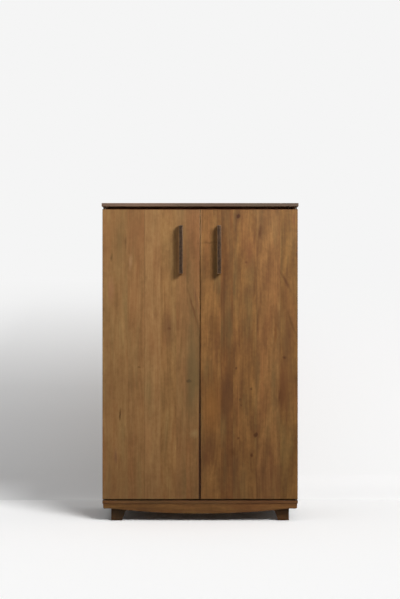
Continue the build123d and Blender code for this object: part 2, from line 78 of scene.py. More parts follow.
bodyOf = {name: piece["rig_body"] for name, piece in nodes.items()}
slotOf = {name: piece.data.materials[0].name for name, piece in nodes.items()}
tiny = 1e-6      # points closer than this are one point
nearly = 1e-5    # places closer than this are level with each other


def linearColour(text):
    # "#8c6840" as the eye reads it, to the linear values that the shaders take
    parts = [int(text[i:i + 2], 16) / 255 for i in (1, 3, 5)]
    return [p / 12.92 if p <= 0.04045 else ((p + 0.055) / 1.055) ** 2.4 for p in parts] + [1.0]


def addNode(tree, kind, inputs=None, **settings):
    # Adds a node, sets what is given and links each input that is another node's socket. Inputs
    # go by name or number: 1 to 4 are the two ranges of a Map Range, 6 and 7 the colours of a Mix.
    node = tree.nodes.new(kind)
    for name, value in settings.items():
        setattr(node, name, value)
    for key, value in (inputs or {}).items():
        if isinstance(value, bpy.types.NodeSocket):
            tree.links.new(value, node.inputs[key])
        else:
            node.inputs[key].default_value = value
    return node


def setStops(ramp, stops):
    # gives a colour ramp its stops, each a place and a colour, from the lowest place up
    elements = ramp.color_ramp.elements
    elements.remove(elements[-1])
    elements[0].position, elements[0].color = stops[0]
    for place, colour in stops[1:]:
        elements.new(place).color = colour


def newMaterial(name):
    material = bpy.data.materials.new(name)
    material.use_nodes = True
    material.node_tree.nodes.clear()
    return material, material.node_tree


# camera: level, a little above the middle of the cabinet, six metres off
cameraLook = {"x": -0.0003, "height": 0.7438, "distance": 6.0, "seenHeight": 2.008, "sensor": 36.0}

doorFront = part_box("left_door")[0].y
camera = bpy.data.objects.new("camera", bpy.data.cameras.new("camera"))
scene.collection.objects.link(camera)
scene.camera = camera
camera.location = (cameraLook["x"], doorFront - cameraLook["distance"], cameraLook["height"])
camera.rotation_euler = (radians(90), 0, 0)
camera.data.sensor_width = cameraLook["sensor"]
camera.data.lens = cameraLook["sensor"] * cameraLook["distance"] / cameraLook["seenHeight"]
print("camera set")


# wood
# Each list of boards gives the far edge of a board, its colour, the place of its heart and
# how strongly its figure shows.
doorAlder = {
    "axes": "XYZ",
    "span": (-0.3275, 0.3275),
    "faceDepth": doorFront,
    "boards": [
        (-0.2443, "#966e41", -0.40, 0.25),
        (-0.1873, "#91683d", -0.22, 0.4),
        (-0.1350, "#9b7245", -0.13, 0.35),
        (-0.0812, "#926a3d", -0.12, 0.65),
        (-0.0476, "#8d653b", -0.03, 0.4),
        (0.0, "#8a6037", -0.03, 0.6),
        (0.0678, "#81582d", 0.03, 1.0),
        (0.1081, "#754c25", 0.11, 0.8),
        (0.1889, "#7d552b", 0.15, 1.0),
        (0.2678, "#835a30", 0.24, 1.0),
        (0.3275, "#7f582b", 0.33, 1.0),
    ],
    "seam": 0.5,
    "endStain": 0.38,
    "contrast": 1.08,
    "marks": [
        # across, up, width, height in mm, turn in degrees, colour, strength, softness
        (128.0, 1024.0, 11, 14, 10, "#3e1900", 0.95, 0.45),
        (128.5, 1024.0, 26, 40, 8, "#4e2b13", 0.35, 1.0),
        (201.0, 971.0, 12, 46, 6, "#4c1e00", 0.75, 1.0),
        (183.0, 948.0, 9, 60, 2, "#350a00", 0.5, 1.0),
        (155.0, 869.0, 9, 8, 0, "#3f1500", 0.6, 0.9),
        (166.0, 774.0, 34, 42, 14, "#5c381e", 0.45, 1.0),
        (26.0, 934.0, 62, 9, -4, "#532e07", 0.55, 1.0),
        (-297.0, 884.0, 8, 26, 3, "#341e00", 0.6, 1.0),
        (-249.0, 938.0, 7, 60, 0, "#341100", 0.5, 1.0),
        (-233.0, 870.0, 12, 48, 4, "#bb9268", 0.4, 1.0),
        (-104.0, 650.0, 40, 120, 0, "#6b4529", 0.6, 1.0),
        (-103.0, 646.0, 12, 9, 0, "#623c1c", 0.75, 0.8),
        (-37.0, 471.0, 17, 11, 8, "#3e1b00", 0.85, 0.6),
        (-27.0, 498.0, 44, 380, 0, "#685a37", 0.55, 0.7),
        (-205.0, 517.0, 11, 5, -6, "#583615", 0.7, 0.9),
        (-268.5, 357.0, 4.5, 40, 2, "#3b1600", 0.85, 0.8),
        (186.5, 290.0, 13, 14, 0, "#402100", 0.95, 0.45),
        (188.0, 297.0, 34, 44, 0, "#683b18", 0.35, 1.0),
        (173.0, 221.5, 9, 15, 4, "#482300", 0.85, 0.7),
        (129.0, 280.0, 8, 7, 0, "#411e00", 0.7, 0.8),
        (134.0, 407.0, 8, 9, 0, "#5a3d1f", 0.85, 0.7),
        (88.0, 415.0, 38, 150, 0, "#57361a", 0.6, 0.5),
        (290.0, 560.0, 50, 520, 0, "#663e21", 0.45, 0.7),
        (118.0, 160.0, 60, 200, 0, "#5a3820", 0.3, 1.0),
        (112.0, 175.0, 14, 180, 0, "#492b14", 0.45, 1.0),
        (208.0, 500.0, 13, 240, 0, "#a0683a", 0.35, 1.0),
        (80.0, 700.0, 8, 300, 0, "#633b19", 0.6, 0.8),
        (167.0, 905.0, 40, 110, 0, "#8a5230", 0.35, 1.0),
        (285.0, 809.0, 10, 76, -28, "#452006", 0.6, 0.9),
        (308.0, 661.0, 8, 86, -20, "#56350e", 0.65, 0.9),
        (315.0, 1010.0, 8, 44, 0, "#6f3d27", 0.6, 1.0),
        (253.0, 628.0, 9, 64, 0, "#643204", 0.6, 1.0),
        (-24.0, 715.0, 8, 130, -16, "#5c3315", 0.6, 0.9),
        (-12.0, 745.0, 8, 120, -12, "#694832", 0.4, 1.0),
        (50.0, 658.0, 28, 76, 0, "#6a451b", 0.5, 1.0),
        (157.0, 591.0, 26, 64, 0, "#7b522d", 0.5, 1.0),
        (282.0, 550.0, 11, 11, 0, "#462200", 0.8, 0.8),
        (121.0, 514.0, 6, 9, 0, "#3f1900", 0.75, 0.8),
        (171.0, 444.0, 8, 9, 0, "#4c2905", 0.75, 0.8),
        (137.0, 390.0, 6, 7, 0, "#593a1e", 0.8, 0.7),
        (110.0, 232.0, 26, 30, 0, "#4a2600", 0.55, 1.0),
        (278.0, 433.0, 38, 130, 0, "#5d3415", 0.6, 0.7),
        (266.0, 419.0, 8, 46, 4, "#401b00", 0.65, 1.0),
        (21.0, 211.0, 40, 100, 0, "#5c3016", 0.6, 0.9),
        (40.0, 393.0, 60, 190, 0, "#8b5927", 0.5, 0.7),
        (-19.0, 294.0, 26, 30, 35, "#aa8b5c", 0.5, 1.0),
        (-283.0, 218.0, 9, 50, 0, "#654037", 0.5, 1.0),
        (251.0, 138.0, 170, 220, 0, "#55381f", 0.35, 1.0),
        (-215.0, 953.0, 56, 110, 0, "#8d5d37", 0.4, 0.6),
        (-299.0, 775.0, 22, 80, 0, "#ad7652", 0.4, 0.8),
        (-272.0, 930.0, 44, 150, 0, "#785a32", 0.4, 0.8),
        # painted shade, the next line only: a broad faint band darkens the lower part of the doors
        (-230.0, 112.0, 1100, 120, 0, "#5a3c22", 0.2, 1.0),
        (200.0, 1000.0, 420, 110, 0, "#4e3018", 0.14, 1.0),
        # painted light along the meeting edges near the top; painted shade along them low down and along
        # the tops of the doors under the top
        (-1.6, 1040.0, 4.5, 260, 0, "#c79a6a", 0.3, 0.7),
        (1.6, 1025.0, 4.5, 340, 0, "#c79a6a", 0.8, 0.7),
        (-1.8, 100.0, 6, 850, 0, "#2c1003", 0.9, 0.5),
        (1.6, 60.0, 4, 800, 0, "#2c1003", 0.6, 0.5),
        (-163.0, 1048.0, 900, 7, 0, "#401a08", 0.6, 0.6),
        (163.0, 1048.0, 900, 7, 0, "#401a08", 0.7, 0.6),
    ],
}
sideAlder = {
    "axes": "YXZ",
    "span": (-0.17, 0.22),
    "boards": [
        (-0.105, "#855e36", -0.14, 0.5),
        (-0.028, "#8d663d", -0.06, 0.7),
        (0.041, "#825b34", 0.02, 0.4),
        (0.128, "#8f673d", 0.09, 0.7),
        (0.22, "#7f5832", 0.2, 0.5),
    ],
    "seam": 0.4,
    "endStain": 0.38,
    "contrast": 0.9,
    "marks": [
        (-68.0, 812.0, 10, 14, 0, "#2f1c10", 0.8, 0.8),
        (-68.0, 812.0, 34, 60, 0, "#5d3d24", 0.4, 1.0),
        (88.0, 402.0, 12, 11, 0, "#33200f", 0.8, 0.8),
        (88.0, 402.0, 36, 52, 0, "#5d3d24", 0.4, 1.0),
        (10.0, 250.0, 26, 220, 0, "#624a2e", 0.4, 0.9),
    ],
}
topAlder = {
    "axes": "YZX",
    "span": (-0.19, 0.22),
    "faceDepth": cadBox[1].z,
    "boards": [
        (-0.118, "#795739", -0.2, 0.4),
        (-0.031, "#714f32", -0.07, 0.6),
        (0.052, "#7c5939", 0.0, 0.6),
        (0.139, "#725033", 0.1, 0.4),
        (0.22, "#795636", 0.2, 0.6),
    ],
    # painted sheen: the edges of the slab are painted greyer than its top, by these shares of red, green
    # and blue
    "paintedEdgeSheen": (0.81, 0.965, 1.49),
    "seam": 0.4,
    "endStain": 0.3,
    "contrast": 0.8,
    "marks": [
        (12.0, -180.0, 12, 14, 0, "#2f1c10", 0.7, 0.8),
        (-80.0, 150.0, 10, 20, 0, "#33200f", 0.6, 0.9),
        (-190.0, -225.0, 60, 240, 0, "#966f4a", 0.7, 1.0),
        (-190.0, -45.0, 60, 90, 0, "#432e1b", 0.35, 1.0),
        (-190.0, 345.0, 60, 620, 0, "#432e1b", 0.65, 1.0),
    ],
}
baseAlder = {
    "axes": "ZYX",
    "span": (0.02, 0.07),
    "boards": [
        (0.059, "#754f28", 0.03, 0.8),
        (0.07, "#6c4626", 0.07, 0.5),
    ],
    "seam": 0.0,
    "endStain": 0.38,
    "contrast": 1.0,
    "marks": [
        (40.0, -190.0, 14, 60, 0, "#54341c", 0.5, 1.0),
    ],
}
footAlder = {
    "axes": "XYZ",
    "span": (-0.3, 0.3),
    "boards": [(0.0, "#432d12", -0.28, 0.5), (0.3, "#4f3113", 0.3, 0.5)],
    "seam": 0.0,
    "endStain": 0.3,
    "contrast": 0.8,
    "marks": [
        # the riser under the top is stained a redder brown than the feet
        (0.0, 1050.0, 1400, 60, 0, "#5a2209", 0.85, 0.4),
    ],
}
innerAlder = {
    "axes": "YZX",
    "span": (-0.19, 0.22),
    "boards": [
        (-0.118, "#926c3f", -0.2, 0.4),
        (-0.031, "#8d6940", -0.07, 0.6),
        (0.052, "#977043", 0.0, 0.6),
        (0.139, "#8b673e", 0.1, 0.4),
        (0.22, "#936d42", 0.2, 0.6),
    ],
    "seam": 0.3,
    "endStain": 0.34,
    "contrast": 0.8,
    "marks": [],
}
backPly = {
    "axes": "XYZ",
    "span": (-0.33, 0.33),
    "boards": [
        (-0.12, "#8a663c", -0.22, 0.9),
        (0.11, "#8d683d", 0.0, 1.0),
        (0.33, "#88653b", 0.21, 0.9),
    ],
    "seam": 0.2,
    "endStain": 0.2,
    "contrast": 0.8,
    "marks": [],
}

# Layers of figure: across, through and along the grain in mm, detail and strength.
# Alder is fine and even, so the wide soft layers are the strong ones. The fibres are
# 0.4 mm in the real board and are drawn 1.2 mm wide so that they show.
grainLayers = [
    (40.0, 40.0, 120.0, 2.0, 0.16),   # clouds of stain
    (22.0, 22.0, 34.0, 3.0, 0.12),    # mottle that lies across the grain
    (10.0, 10.0, 13.0, 3.0, 0.12),    # fine curl
    (13.0, 13.0, 300.0, 3.0, 0.16),   # broad streaks
    (4.5, 4.5, 120.0, 3.0, 0.16),     # narrow streaks
    (1.2, 1.2, 60.0, 2.0, 0.13),      # fibres
]
noiseMiddle = 0.5           # the noise gathers about this value
noiseSpread = 0.25          # and nearly all of it lies within this of it
narrowLayer = 20.0          # layers under this size across follow the board's own figure
figureRange = (0.6, 1.35)   # how much a plain board and a lively one show of them
poreGrain = {"across": 0.8, "through": 0.8, "along": 11.0, "from": 0.66, "to": 0.74, "strength": 0.28}
# Arches, in mm but for the wander in radians and the strength. A smaller ring packs them closer.
archGrain = {"ring": 7.5, "spread": 60.0, "rise": 34.0, "wander": 7.8, "strength": 0.16}
# Clouds of a redder and a greener stain, and where in the noise each starts and is full.
warmth = {
    "red": "#9a5c34", "redRange": (0.52, 0.75), "green": "#7a7044", "greenRange": (0.48, 0.25),
    "across": 34.0, "along": 230.0, "strength": 0.24,
}
# what all boards share, in metres
boardLook = {
    # no two boards show the same stretch of the noise
    "turn": 0.381, "shift": (7.3, 3.1, 11.7),
    # the grain wanders from the straight by up to 17 mm, over 110 mm across and 450 mm along
    "wanderScale": (9, 9, 2.2), "wanderReach": (0.034, 0.034, 0.0), "wobbleScale": 1.6,
    # Marks have ragged outlines and have faded out at 1.4 times their size in mm. One that is this
    # many times as long as it is wide is a stain along an edge: it runs straight and lies shallow.
    "raggedScale": (90, 90, 45), "raggedReach": (0.006, 0.0, 0.010), "markReach": 1 / 1450,
    "markDepth": 0.5, "edgeDepth": 0.006, "edgeFrom": 40,
    "poreTone": "#301b0a", "poreDip": -0.7,
    "seamHalf": 0.0006, "seamTone": "#33200f",
    # end grain, where a face turns this far along the grain, from none to all
    "endRange": (0.6, 0.98), "endTone": "#2c1c10",
    # level faces, which the painted sheen leaves alone, where a normal points this far up or down, from
    # none to all
    "levelRange": (0.35, 0.9),
    "rough": (0.50, 0.60), "refraction": 1.45, "specular": 0.3, "bump": 0.35, "relief": 0.00012,
}


def woodMaterial(name, wood):
    material, tree = newMaterial(name)
    where = addNode(tree, "ShaderNodeTexCoord")
    apart = addNode(tree, "ShaderNodeSeparateXYZ", {0: where.outputs["Object"]})
    across, depth, along = [apart.outputs["XYZ".index(axis)] for axis in wood["axes"]]
    place = addNode(tree, "ShaderNodeCombineXYZ", {0: across, 1: depth, 2: along}).outputs[0]

    # which board this is, and what sets it apart
    low, high = wood["span"]
    share = addNode(tree, "ShaderNodeMapRange", {0: across, 1: low, 2: high}).outputs[0]
    toneStops, traitStops, start = [], [], low
    for index, (edge, tone, heart, arches) in enumerate(wood["boards"]):
        startShare, heartShare = [(x - low) / (high - low) for x in (start, heart)]
        toneStops.append((startShare, linearColour(tone)))
        traitStops.append((startShare, ((index * boardLook["turn"]) % 1.0, heartShare, arches, 1)))
        start = edge
    tones = addNode(tree, "ShaderNodeValToRGB", {0: share})
    traits = addNode(tree, "ShaderNodeValToRGB", {0: share})
    for ramp, stops in ((tones, toneStops), (traits, traitStops)):
        ramp.color_ramp.interpolation = "CONSTANT"
        setStops(ramp, stops)
    trait = addNode(tree, "ShaderNodeSeparateColor", {0: traits.outputs[0]})
    boardShift = addNode(
        tree, "ShaderNodeVectorMath", {0: trait.outputs[0], 1: boardLook["shift"]}, operation="MULTIPLY"
    ).outputs[0]

    # the grain wanders a little from the straight
    wide = addNode(
        tree, "ShaderNodeVectorMath", {0: place, 1: boardLook["wanderScale"]}, operation="MULTIPLY"
    ).outputs[0]
    wide = addNode(tree, "ShaderNodeVectorMath", {0: wide, 1: boardShift}, operation="ADD").outputs[0]
    drift = addNode(
        tree, "ShaderNodeTexNoise", {"Vector": wide, "Scale": 1.0, "Detail": 1.0}
    ).outputs["Color"]
    drift = addNode(
        tree, "ShaderNodeVectorMath", {0: drift, 1: (noiseMiddle,) * 3}, operation="SUBTRACT"
    ).outputs[0]
    drift = addNode(
        tree, "ShaderNodeVectorMath", {0: drift, 1: boardLook["wanderReach"]}, operation="MULTIPLY"
    ).outputs[0]
    grained = addNode(tree, "ShaderNodeVectorMath", {0: place, 1: drift}, operation="ADD").outputs[0]

    colour = tones.outputs[0]
    relief = None
    figure = addNode(
        tree, "ShaderNodeMapRange", {0: trait.outputs[2], 3: figureRange[0], 4: figureRange[1]}
    ).outputs[0]
    darkest, lightest = noiseMiddle - noiseSpread, noiseMiddle + noiseSpread
    for sizeAcross, sizeThrough, sizeAlong, detail, strength in grainLayers:
        scale = tuple(1000 / size for size in (sizeAcross, sizeThrough, sizeAlong))
        fine = addNode(
            tree, "ShaderNodeVectorMath", {0: grained, 1: scale}, operation="MULTIPLY"
        ).outputs[0]
        fine = addNode(tree, "ShaderNodeVectorMath", {0: fine, 1: boardShift}, operation="ADD").outputs[0]
        noise = addNode(
            tree, "ShaderNodeTexNoise", {"Vector": fine, "Scale": 1.0, "Detail": detail}
        ).outputs["Fac"]
        relief = addNode(tree, "ShaderNodeMapRange", {0: noise, 1: darkest, 2: lightest}).outputs[0]
        layerShare = strength * wood["contrast"]
        if sizeAcross < narrowLayer:
            layerShare = addNode(
                tree, "ShaderNodeMath", {0: figure, 1: layerShare}, operation="MULTIPLY"
            ).outputs[0]
        colour = addNode(
            tree,
            "ShaderNodeMix",
            {0: layerShare, 6: colour, 7: relief},
            data_type="RGBA",
            blend_type="SOFT_LIGHT",
        ).outputs[2]

    # arches of the flat-sawn face: rings that rise towards the heart of each board
    acrossWarped = addNode(tree, "ShaderNodeSeparateXYZ", {0: grained})
    heartPlace = addNode(
        tree, "ShaderNodeMapRange", {0: trait.outputs[1], 3: low, 4: high}
    ).outputs[0]
    fromHeart = addNode(
        tree, "ShaderNodeMath", {0: acrossWarped.outputs[0], 1: heartPlace}, operation="SUBTRACT"
    ).outputs[0]
    fromHeart = addNode(
        tree, "ShaderNodeMath", {0: fromHeart, 1: 1000 / archGrain["spread"]}, operation="MULTIPLY"
    ).outputs[0]
    bowed = addNode(tree, "ShaderNodeMath", {0: fromHeart, 1: 2.0}, operation="POWER").outputs[0]
    bowed = addNode(
        tree, "ShaderNodeMath", {0: bowed, 1: archGrain["spread"] / archGrain["ring"]}, operation="MULTIPLY"
    ).outputs[0]
    rise = addNode(
        tree, "ShaderNodeMath", {0: acrossWarped.outputs[2], 1: 1000 / archGrain["rise"], 2: bowed},
        operation="MULTIPLY_ADD",
    ).outputs[0]
    wobble = addNode(
        tree, "ShaderNodeTexNoise", {"Vector": wide, "Scale": boardLook["wobbleScale"], "Detail": 3.0}
    ).outputs["Fac"]
    rise = addNode(
        tree, "ShaderNodeMath", {0: wobble, 1: archGrain["wander"], 2: rise}, operation="MULTIPLY_ADD"
    ).outputs[0]
    rings = addNode(tree, "ShaderNodeMath", {0: rise}, operation="SINE").outputs[0]
    rings = addNode(tree, "ShaderNodeMapRange", {0: rings, 1: -1.0, 2: 1.0}).outputs[0]
    archShare = addNode(
        tree,
        "ShaderNodeMath",
        {0: trait.outputs[2], 1: archGrain["strength"] * wood["contrast"]},
        operation="MULTIPLY",
    ).outputs[0]
    colour = addNode(
        tree, "ShaderNodeMix", {0: archShare, 6: colour, 7: rings},
        data_type="RGBA", blend_type="SOFT_LIGHT",
    ).outputs[2]

    # warm and cool clouds in the stain
    cloudScale = (1000 / warmth["across"], 1000 / warmth["across"], 1000 / warmth["along"])
    cloud = addNode(
        tree, "ShaderNodeVectorMath", {0: grained, 1: cloudScale}, operation="MULTIPLY"
    ).outputs[0]
    cloud = addNode(tree, "ShaderNodeVectorMath", {0: cloud, 1: boardShift}, operation="ADD").outputs[0]
    cloud = addNode(
        tree, "ShaderNodeTexNoise", {"Vector": cloud, "Scale": 1.0, "Detail": 2.0}
    ).outputs["Fac"]
    for key in ("red", "green"):
        start, full = warmth[f"{key}Range"]
        amount = addNode(
            tree, "ShaderNodeMapRange", {0: cloud, 1: start, 2: full, 3: 0.0, 4: warmth["strength"]}
        ).outputs[0]
        colour = addNode(
            tree, "ShaderNodeMix", {0: amount, 6: colour, 7: linearColour(warmth[key])}, data_type="RGBA"
        ).outputs[2]

    # short dark pores
    poreScale = tuple(1000 / poreGrain[key] for key in ("across", "through", "along"))
    pores = addNode(
        tree, "ShaderNodeVectorMath", {0: grained, 1: poreScale}, operation="MULTIPLY"
    ).outputs[0]
    pores = addNode(
        tree, "ShaderNodeTexNoise", {"Vector": pores, "Scale": 1.0, "Detail": 1.0}
    ).outputs["Fac"]
    pores = addNode(
        tree, "ShaderNodeMapRange", {0: pores, 1: poreGrain["from"], 2: poreGrain["to"]}
    ).outputs[0]
    poreShare = addNode(
        tree, "ShaderNodeMath", {0: pores, 1: poreGrain["strength"]}, operation="MULTIPLY"
    ).outputs[0]
    colour = addNode(
        tree, "ShaderNodeMix", {0: poreShare, 6: colour, 7: linearColour(boardLook["poreTone"])},
        data_type="RGBA",
    ).outputs[2]

    # knots, flecks and stained patches
    speckle = addNode(
        tree, "ShaderNodeVectorMath", {0: place, 1: boardLook["raggedScale"]}, operation="MULTIPLY"
    ).outputs[0]
    speckle = addNode(
        tree, "ShaderNodeTexNoise", {"Vector": speckle, "Scale": 1.0, "Detail": 3.0}
    ).outputs["Color"]
    speckle = addNode(
        tree, "ShaderNodeVectorMath", {0: speckle, 1: (noiseMiddle,) * 3}, operation="SUBTRACT"
    ).outputs[0]
    speckle = addNode(
        tree, "ShaderNodeVectorMath", {0: speckle, 1: boardLook["raggedReach"]}, operation="MULTIPLY"
    ).outputs[0]
    ragged = addNode(tree, "ShaderNodeVectorMath", {0: place, 1: speckle}, operation="ADD").outputs[0]
    reach = boardLook["markReach"]
    for x, z, width, height, turn, tone, strength, softness in wood["marks"]:
        straight = max(width, height) > boardLook["edgeFrom"] * min(width, height)
        deep = boardLook["edgeDepth"] if straight else boardLook["markDepth"]
        spot = addNode(
            tree,
            "ShaderNodeMapping",
            {
                "Vector": place if straight else ragged,
                "Location": (x / 1000, wood.get("faceDepth", 0.0), z / 1000),
                "Rotation": (0, radians(turn), 0),
                "Scale": (width * reach, deep, height * reach),
            },
            vector_type="TEXTURE",
        ).outputs[0]
        spot = addNode(
            tree, "ShaderNodeTexGradient", {0: spot}, gradient_type="SPHERICAL"
        ).outputs["Fac"]
        spot = addNode(tree, "ShaderNodeMapRange", {0: spot, 1: 0.0, 2: softness, 4: strength}).outputs[0]
        colour = addNode(
            tree, "ShaderNodeMix", {0: spot, 6: colour, 7: linearColour(tone)}, data_type="RGBA"
        ).outputs[2]

    # glue lines between the boards, where they show
    if wood["seam"]:
        seamStops = [(0.0, (0, 0, 0, 1))]
        for edge, *_ in wood["boards"][:-1]:
            for offset, level in ((-boardLook["seamHalf"], 1.0), (boardLook["seamHalf"], 0.0)):
                seamStops.append(((edge + offset - low) / (high - low), (level, level, level, 1)))
        seamRamp = addNode(tree, "ShaderNodeValToRGB", {0: share})
        seamRamp.color_ramp.interpolation = "CONSTANT"
        setStops(seamRamp, seamStops)
        seams = addNode(
            tree, "ShaderNodeMath", {0: seamRamp.outputs[0], 1: wobble}, operation="MULTIPLY"
        ).outputs[0]
        seams = addNode(
            tree, "ShaderNodeMath", {0: seams, 1: wood["seam"]}, operation="MULTIPLY"
        ).outputs[0]
        colour = addNode(
            tree, "ShaderNodeMix", {0: seams, 6: colour, 7: linearColour(boardLook["seamTone"])},
            data_type="RGBA",
        ).outputs[2]

    # end grain drinks more stain
    facing = addNode(tree, "ShaderNodeSeparateXYZ", {0: where.outputs["Normal"]})
    ends = addNode(
        tree, "ShaderNodeMath", {0: facing.outputs["XYZ".index(wood["axes"][2])]}, operation="ABSOLUTE"
    ).outputs[0]
    start, full = boardLook["endRange"]
    ends = addNode(
        tree, "ShaderNodeMapRange", {0: ends, 1: start, 2: full, 4: wood["endStain"]}
    ).outputs[0]
    colour = addNode(
        tree, "ShaderNodeMix", {0: ends, 6: colour, 7: linearColour(boardLook["endTone"])},
        data_type="RGBA",
    ).outputs[2]

    # painted sheen: faces that stand upright are tinted greyer, level faces keep their colour
    if "paintedEdgeSheen" in wood:
        start, full = boardLook["levelRange"]
        upright = addNode(tree, "ShaderNodeMath", {0: facing.outputs[2]}, operation="ABSOLUTE").outputs[0]
        upright = addNode(
            tree, "ShaderNodeMapRange", {0: upright, 1: start, 2: full, 3: 1.0, 4: 0.0}
        ).outputs[0]
        colour = addNode(
            tree, "ShaderNodeMix", {0: upright, 6: colour, 7: (*wood["paintedEdgeSheen"], 1)},
            data_type="RGBA", blend_type="MULTIPLY",
        ).outputs[2]

    # satin stain: fibres stand a hair proud and shine a little less than the rest
    smoothest, roughest = boardLook["rough"]
    gloss = addNode(tree, "ShaderNodeMapRange", {0: relief, 3: smoothest, 4: roughest}).outputs[0]
    height = addNode(
        tree, "ShaderNodeMath", {0: pores, 1: boardLook["poreDip"], 2: relief}, operation="MULTIPLY_ADD"
    ).outputs[0]
    bump = addNode(
        tree,
        "ShaderNodeBump",
        {"Height": height, "Strength": boardLook["bump"], "Distance": boardLook["relief"]},
    ).outputs[0]
    shader = addNode(
        tree,
        "ShaderNodeBsdfPrincipled",
        {
            "Base Color": colour, "Roughness": gloss, "Normal": bump,
            "IOR": boardLook["refraction"], "Specular IOR Level": boardLook["specular"],
        },
    )
    addNode(tree, "ShaderNodeOutputMaterial", {0: shader.outputs[0]})
    return material


materials = {
    # rustic alder, sanded, stained golden brown and waxed: soft, cloudy, hardly any shine
    "door_wood": woodMaterial("stainedAlderDoors", doorAlder),
    "case_wood": woodMaterial("stainedAlderSides", sideAlder),
    "top_wood": woodMaterial("stainedAlderTop", topAlder),
    "base_wood": woodMaterial("stainedAlderBase", baseAlder),
    "foot_wood": woodMaterial("darkStainedAlderFeet", footAlder),
    "inner_wood": woodMaterial("waxedAlderInside", innerAlder),
    # peeled veneer: broad, lively arches and no solid boards
    "back_board": woodMaterial("alderPlywoodBack", backPly),
}
print("wood made")


# metal, rubber and plastic
# The grain is the size of the clouds in mm, and bump the depth of the relief in metres.
plainFinishes = {
    # oil-rubbed bronze: nearly black, soft sheen, brown where hands have rubbed it, and a painted highlight
    # on the same edges
    "dark_metal": {
        "name": "oilRubbedBronze", "dark": "#2b2019", "light": "#4f3a2a", "wearAndSheen": "#a88a6c",
        "metallic": 0.8, "rough": (0.36, 0.52), "grain": (9.0, 9.0, 9.0), "bump": 0.00005,
    },
    # bronze-plated steel: dark brown, a little cloudy
    "hinge_steel": {
        "name": "bronzePlatedSteel", "dark": "#3a2f27", "light": "#5a4b3e", "metallic": 1.0,
        "rough": (0.32, 0.46), "grain": (0.6, 0.6, 14.0), "bump": 0.00003,
    },
    # zinc-plated steel: pale and a little cloudy
    "screw_steel": {
        "name": "zincPlatedScrews", "dark": "#97948c", "light": "#bdbab2", "metallic": 1.0,
        "rough": (0.30, 0.45), "grain": (2.0, 2.0, 2.0), "bump": 0.00003,
    },
    # dark grey moulded rubber: matt with a fine bloom
    "rubber_pad": {
        "name": "mouldedRubber", "dark": "#3b3835", "light": "#4a4743", "metallic": 0.0,
        "rough": (0.72, 0.86), "grain": (1.4, 1.4, 1.4), "bump": 0.00006,
    },
    # moulded brown ABS with a spark-eroded texture
    "catch_plastic": {
        "name": "mouldedBrownPlastic", "dark": "#3b2e25", "light": "#4a3a2f", "metallic": 0.0,
        "rough": (0.48, 0.6), "grain": (0.8, 0.8, 0.8), "bump": 0.00006,
    },
    # moulded nylon: warm grey, half matt
    "glide_plastic": {
        "name": "mouldedNylonGlides", "dark": "#5a5550", "light": "#6b655f", "metallic": 0.0,
        "rough": (0.5, 0.65), "grain": (1.2, 1.2, 1.2), "bump": 0.00005,
    },
}
# clouds in a plain finish: their range in the noise, the least they leave of the wear and painted
# highlight, and relief
plainLook = {"clouds": (0.3, 0.7), "leastWearAndSheen": 0.6, "bump": 0.4}


def plainMaterial(finish):
    # a mesh's attribute for wear and painted highlight, where it has one, bares a lighter metal on its
    # edges and paints a highlight along them
    material, tree = newMaterial(finish["name"])
    where = addNode(tree, "ShaderNodeTexCoord").outputs["Object"]
    scale = tuple(1000 / size for size in finish["grain"])
    fine = addNode(tree, "ShaderNodeVectorMath", {0: where, 1: scale}, operation="MULTIPLY").outputs[0]
    noise = addNode(
        tree, "ShaderNodeTexNoise", {"Vector": fine, "Scale": 1.0, "Detail": 3.0}
    ).outputs["Fac"]
    darkest, lightest = plainLook["clouds"]
    noise = addNode(tree, "ShaderNodeMapRange", {0: noise, 1: darkest, 2: lightest}).outputs[0]
    colour = addNode(
        tree,
        "ShaderNodeMix",
        {0: noise, 6: linearColour(finish["dark"]), 7: linearColour(finish["light"])},
        data_type="RGBA",
    ).outputs[2]
    gloss = addNode(
        tree, "ShaderNodeMapRange", {0: noise, 3: finish["rough"][0], 4: finish["rough"][1]}
    ).outputs[0]
    if "wearAndSheen" in finish:
        wearAndSheen = addNode(tree, "ShaderNodeAttribute", attribute_name="wearAndSheen").outputs["Fac"]
        rub = addNode(tree, "ShaderNodeMapRange", {0: noise, 3: plainLook["leastWearAndSheen"], 4: 1.0}).outputs[0]
        wearAndSheen = addNode(tree, "ShaderNodeMath", {0: wearAndSheen, 1: rub}, operation="MULTIPLY").outputs[0]
        colour = addNode(
            tree, "ShaderNodeMix", {0: wearAndSheen, 6: colour, 7: linearColour(finish["wearAndSheen"])}, data_type="RGBA"
        ).outputs[2]
    bump = addNode(
        tree, "ShaderNodeBump", {"Height": noise, "Strength": plainLook["bump"], "Distance": finish["bump"]}
    ).outputs[0]
    shader = addNode(
        tree,
        "ShaderNodeBsdfPrincipled",
        {"Base Color": colour, "Roughness": gloss, "Normal": bump, "Metallic": finish["metallic"]},
    )
    addNode(tree, "ShaderNodeOutputMaterial", {0: shader.outputs[0]})
    return material


for slot, finish in plainFinishes.items():
    materials[slot] = plainMaterial(finish)
for name, piece in nodes.items():
    piece.data.materials[0] = materials[slotOf[name]]
print("metal, rubber and plastic made")


def finishPiece(name, mesh, node, replaced=True, smoothUpTo=35):
    # turns a finished bmesh into a piece that stands for a CAD node
    data = bpy.data.meshes.new(name)
    mesh.to_mesh(data)
    mesh.free()
    piece = bpy.data.objects.new(name, data)
    scene.collection.objects.link(piece)
    data.materials.append(materials[slotOf[node]])
    data.set_sharp_from_angle(angle=radians(smoothUpTo))
    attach(piece, bodyOf[node])
    if replaced:
        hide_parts(node)
    return piece


